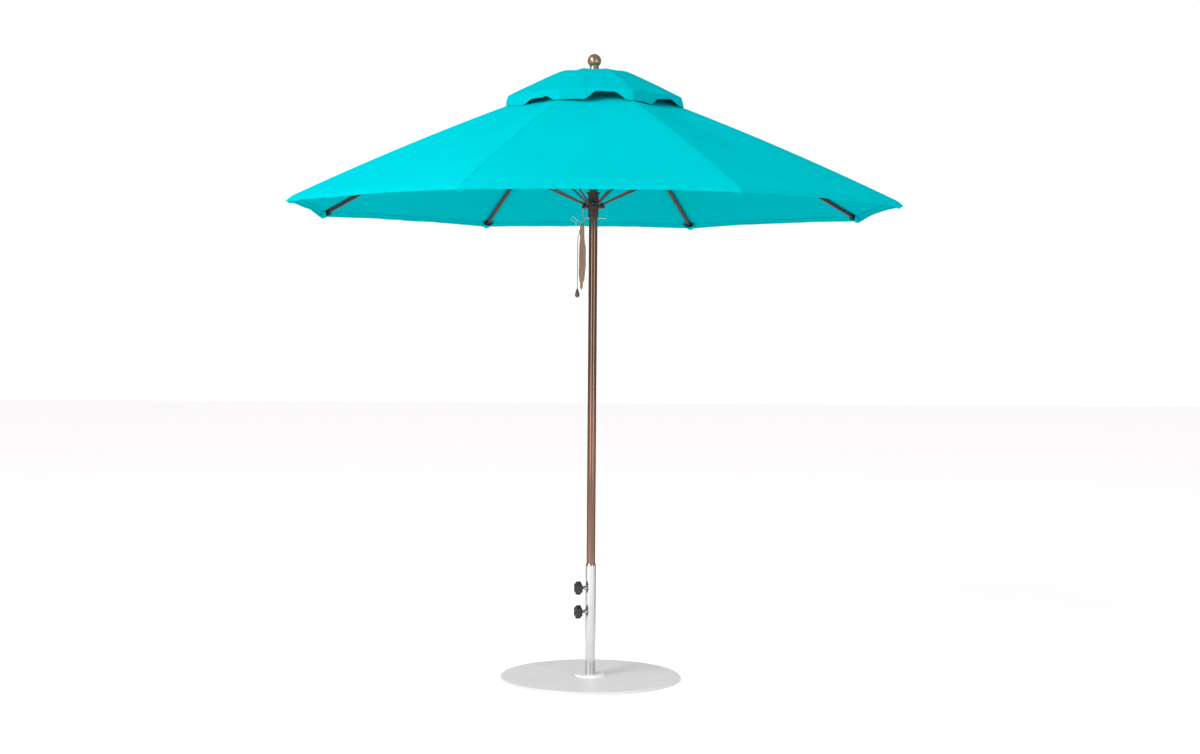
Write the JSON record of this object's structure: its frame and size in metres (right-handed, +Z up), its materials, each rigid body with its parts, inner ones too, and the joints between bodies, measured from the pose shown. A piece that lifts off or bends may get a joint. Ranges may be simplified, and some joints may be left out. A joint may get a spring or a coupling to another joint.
{
  "type": "market umbrella",
  "caption": "Round-plate stand with a clamped pole, folding ribbed octagonal canopy, vented cap, rope lift over a pulley, lock pin, ball finial.",
  "frame": {"origin": "centre of the stand plate's underside, on the ground", "axes": "+Z up along the pole; -Y towards the front, where a straight hem edge faces; +X to the right seen from the front; the clamp knobs stand on the -X side"},
  "size_m": [2.5344, 2.5344, 2.743],
  "materials": {
    "canopy_cloth": "woven canopy cloth, matt, turquoise",
    "bronze_paint": "bronze-brown powder coat, satin gloss",
    "rib_paint": "dark red-brown powder coat",
    "black_plastic": "moulded black plastic",
    "brown_plastic": "moulded brown plastic",
    "zinc_steel": "zinc-plated steel",
    "polished_steel": "polished steel",
    "plate_steel": "satin grey steel plate",
    "rope_fibre": "braided cord"
  },
  "bodies": {
    "stand": {"base_plate": "plate_steel", "base_flange": "polished_steel", "stem_tube": "polished_steel", "stem_collar": "zinc_steel", "boss_upper": "zinc_steel", "boss_lower": "zinc_steel"},
    "knob_upper": {"knob_upper": "black_plastic"},
    "knob_lower": {"knob_lower": "black_plastic"},
    "lower_pole": {"lower_pole": "bronze_paint", "pole_foot_plug": "black_plastic"},
    "pole_coupler": {"pole_coupler": "zinc_steel"},
    "upper_pole": {"upper_pole": "bronze_paint", "pole_top_plug": "brown_plastic", "crown_hub": "black_plastic", "crown_wire": "zinc_steel", "pulley_axle": "zinc_steel", "vent_cap": "canopy_cloth", "lift_rope_run": "rope_fibre"},
    "pulley": {"pulley_wheel": "black_plastic"},
    "finial": {"finial": "bronze_paint"},
    "runner": {"runner_hub": "black_plastic", "runner_wire": "zinc_steel", "lift_rope": "rope_fibre", "rope_hank": "rope_fibre", "rope_tail": "rope_fibre", "rope_toggle": "brown_plastic"},
    "lock_pin": {"lock_pin": "zinc_steel", "pin_clip": "zinc_steel"},
    "rib_1": {"rib_1": "rib_paint", "rib_tip_1": "black_plastic", "canopy_gore_1": "canopy_cloth"},
    "strut_1": {"strut_1": "rib_paint"},
    "rib_2": {"rib_2": "rib_paint", "rib_tip_2": "black_plastic", "canopy_gore_2": "canopy_cloth"},
    "strut_2": {"strut_2": "rib_paint"},
    "rib_3": {"rib_3": "rib_paint", "rib_tip_3": "black_plastic", "canopy_gore_3": "canopy_cloth"},
    "strut_3": {"strut_3": "rib_paint"},
    "rib_4": {"rib_4": "rib_paint", "rib_tip_4": "black_plastic", "canopy_gore_4": "canopy_cloth"},
    "strut_4": {"strut_4": "rib_paint"},
    "rib_5": {"rib_5": "rib_paint", "rib_tip_5": "black_plastic", "canopy_gore_5": "canopy_cloth"},
    "strut_5": {"strut_5": "rib_paint"},
    "rib_6": {"rib_6": "rib_paint", "rib_tip_6": "black_plastic", "canopy_gore_6": "canopy_cloth"},
    "strut_6": {"strut_6": "rib_paint"},
    "rib_7": {"rib_7": "rib_paint", "rib_tip_7": "black_plastic", "canopy_gore_7": "canopy_cloth"},
    "strut_7": {"strut_7": "rib_paint"},
    "rib_8": {"rib_8": "rib_paint", "rib_tip_8": "black_plastic", "canopy_gore_8": "canopy_cloth"},
    "strut_8": {"strut_8": "rib_paint"}
  },
  "joints": [
    {"name": "canopy_fold", "type": "slide", "parent": "upper_pole", "child": "runner", "axis": [0, 0, 1], "range_m": [-0.7953, 0], "deforming": ["lift_rope_run"]},
    {"name": "pin_pull", "type": "slide", "parent": "upper_pole", "child": "lock_pin", "axis": [-0.9659, -0.2588, 0], "range_m": [0, 0.11]},
    {"name": "pulley_spin", "type": "hinge", "parent": "upper_pole", "child": "pulley", "pos_m": [-0.0366, 0, 2.58], "axis": [0, 1, 0], "continuous": true},
    {"name": "finial_unscrew", "type": "hinge", "parent": "upper_pole", "child": "finial", "pos_m": [0, 0, 2.7], "axis": [0, 0, 1], "continuous": true},
    {"name": "pole_lift", "type": "slide", "parent": "stand", "child": "lower_pole", "axis": [0, 0, 1], "range_m": [0, 0.48]},
    {"name": "canopy_turn", "type": "hinge", "parent": "lower_pole", "child": "pole_coupler", "pos_m": [0, 0, 0.873], "axis": [0, 0, 1], "continuous": true},
    {"name": "pole_join", "type": "slide", "parent": "pole_coupler", "child": "upper_pole", "axis": [0, 0, 1], "range_m": [0, 0.12]},
    {"name": "knob_upper_turn", "type": "hinge", "parent": "stand", "child": "knob_upper", "pos_m": [0, 0, 0.4], "axis": [-0.9397, -0.342, 0], "continuous": true},
    {"name": "knob_lower_turn", "type": "hinge", "parent": "stand", "child": "knob_lower", "pos_m": [0, 0, 0.295], "axis": [-0.9397, -0.342, 0], "continuous": true},
    {"name": "rib_1_fold", "type": "hinge", "parent": "upper_pole", "child": "rib_1", "pos_m": [0.0388, 0.01607, 2.616], "axis": [-0.3827, 0.9239, 0], "range_deg": [0, 64.01], "deforming": ["canopy_gore_1"]},
    {"name": "strut_1_fold", "type": "hinge", "parent": "rib_1", "child": "strut_1", "pos_m": [0.60052, 0.24874, 2.351], "axis": [-0.3827, 0.9239, 0], "range_deg": [-128.02, 0]},
    {"name": "rib_2_fold", "type": "hinge", "parent": "upper_pole", "child": "rib_2", "pos_m": [0.01607, 0.0388, 2.616], "axis": [-0.9239, 0.3827, 0], "range_deg": [0, 64.01], "deforming": ["canopy_gore_2"]},
    {"name": "strut_2_fold", "type": "hinge", "parent": "rib_2", "child": "strut_2", "pos_m": [0.24874, 0.60052, 2.351], "axis": [-0.9239, 0.3827, 0], "range_deg": [-128.02, 0]},
    {"name": "rib_3_fold", "type": "hinge", "parent": "upper_pole", "child": "rib_3", "pos_m": [-0.01607, 0.0388, 2.616], "axis": [-0.9239, -0.3827, 0], "range_deg": [0, 64.01], "deforming": ["canopy_gore_3"]},
    {"name": "strut_3_fold", "type": "hinge", "parent": "rib_3", "child": "strut_3", "pos_m": [-0.24874, 0.60052, 2.351], "axis": [-0.9239, -0.3827, 0], "range_deg": [-128.02, 0]},
    {"name": "rib_4_fold", "type": "hinge", "parent": "upper_pole", "child": "rib_4", "pos_m": [-0.0388, 0.01607, 2.616], "axis": [-0.3827, -0.9239, 0], "range_deg": [0, 64.01], "deforming": ["canopy_gore_4"]},
    {"name": "strut_4_fold", "type": "hinge", "parent": "rib_4", "child": "strut_4", "pos_m": [-0.60052, 0.24874, 2.351], "axis": [-0.3827, -0.9239, 0], "range_deg": [-128.02, 0]},
    {"name": "rib_5_fold", "type": "hinge", "parent": "upper_pole", "child": "rib_5", "pos_m": [-0.0388, -0.01607, 2.616], "axis": [0.3827, -0.9239, 0], "range_deg": [0, 64.01], "deforming": ["canopy_gore_5"]},
    {"name": "strut_5_fold", "type": "hinge", "parent": "rib_5", "child": "strut_5", "pos_m": [-0.60052, -0.24874, 2.351], "axis": [0.3827, -0.9239, 0], "range_deg": [-128.02, 0]},
    {"name": "rib_6_fold", "type": "hinge", "parent": "upper_pole", "child": "rib_6", "pos_m": [-0.01607, -0.0388, 2.616], "axis": [0.9239, -0.3827, 0], "range_deg": [0, 64.01], "deforming": ["canopy_gore_6"]},
    {"name": "strut_6_fold", "type": "hinge", "parent": "rib_6", "child": "strut_6", "pos_m": [-0.24874, -0.60052, 2.351], "axis": [0.9239, -0.3827, 0], "range_deg": [-128.02, 0]},
    {"name": "rib_7_fold", "type": "hinge", "parent": "upper_pole", "child": "rib_7", "pos_m": [0.01607, -0.0388, 2.616], "axis": [0.9239, 0.3827, 0], "range_deg": [0, 64.01], "deforming": ["canopy_gore_7"]},
    {"name": "strut_7_fold", "type": "hinge", "parent": "rib_7", "child": "strut_7", "pos_m": [0.24874, -0.60052, 2.351], "axis": [0.9239, 0.3827, 0], "range_deg": [-128.02, 0]},
    {"name": "rib_8_fold", "type": "hinge", "parent": "upper_pole", "child": "rib_8", "pos_m": [0.0388, -0.01607, 2.616], "axis": [0.3827, 0.9239, 0], "range_deg": [0, 64.01], "deforming": ["canopy_gore_8"]},
    {"name": "strut_8_fold", "type": "hinge", "parent": "rib_8", "child": "strut_8", "pos_m": [0.60052, -0.24874, 2.351], "axis": [0.3827, 0.9239, 0], "range_deg": [-128.02, 0]}
  ],
  "couplings": [
    {"joint": "rib_1_fold", "follows": "canopy_fold", "rad_per_m": -1.4045},
    {"joint": "strut_1_fold", "follows": "canopy_fold", "rad_per_m": 2.809},
    {"joint": "rib_2_fold", "follows": "canopy_fold", "rad_per_m": -1.4045},
    {"joint": "strut_2_fold", "follows": "canopy_fold", "rad_per_m": 2.809},
    {"joint": "rib_3_fold", "follows": "canopy_fold", "rad_per_m": -1.4045},
    {"joint": "strut_3_fold", "follows": "canopy_fold", "rad_per_m": 2.809},
    {"joint": "rib_4_fold", "follows": "canopy_fold", "rad_per_m": -1.4045},
    {"joint": "strut_4_fold", "follows": "canopy_fold", "rad_per_m": 2.809},
    {"joint": "rib_5_fold", "follows": "canopy_fold", "rad_per_m": -1.4045},
    {"joint": "strut_5_fold", "follows": "canopy_fold", "rad_per_m": 2.809},
    {"joint": "rib_6_fold", "follows": "canopy_fold", "rad_per_m": -1.4045},
    {"joint": "strut_6_fold", "follows": "canopy_fold", "rad_per_m": 2.809},
    {"joint": "rib_7_fold", "follows": "canopy_fold", "rad_per_m": -1.4045},
    {"joint": "strut_7_fold", "follows": "canopy_fold", "rad_per_m": 2.809},
    {"joint": "rib_8_fold", "follows": "canopy_fold", "rad_per_m": -1.4045},
    {"joint": "strut_8_fold", "follows": "canopy_fold", "rad_per_m": 2.809}
  ]
}
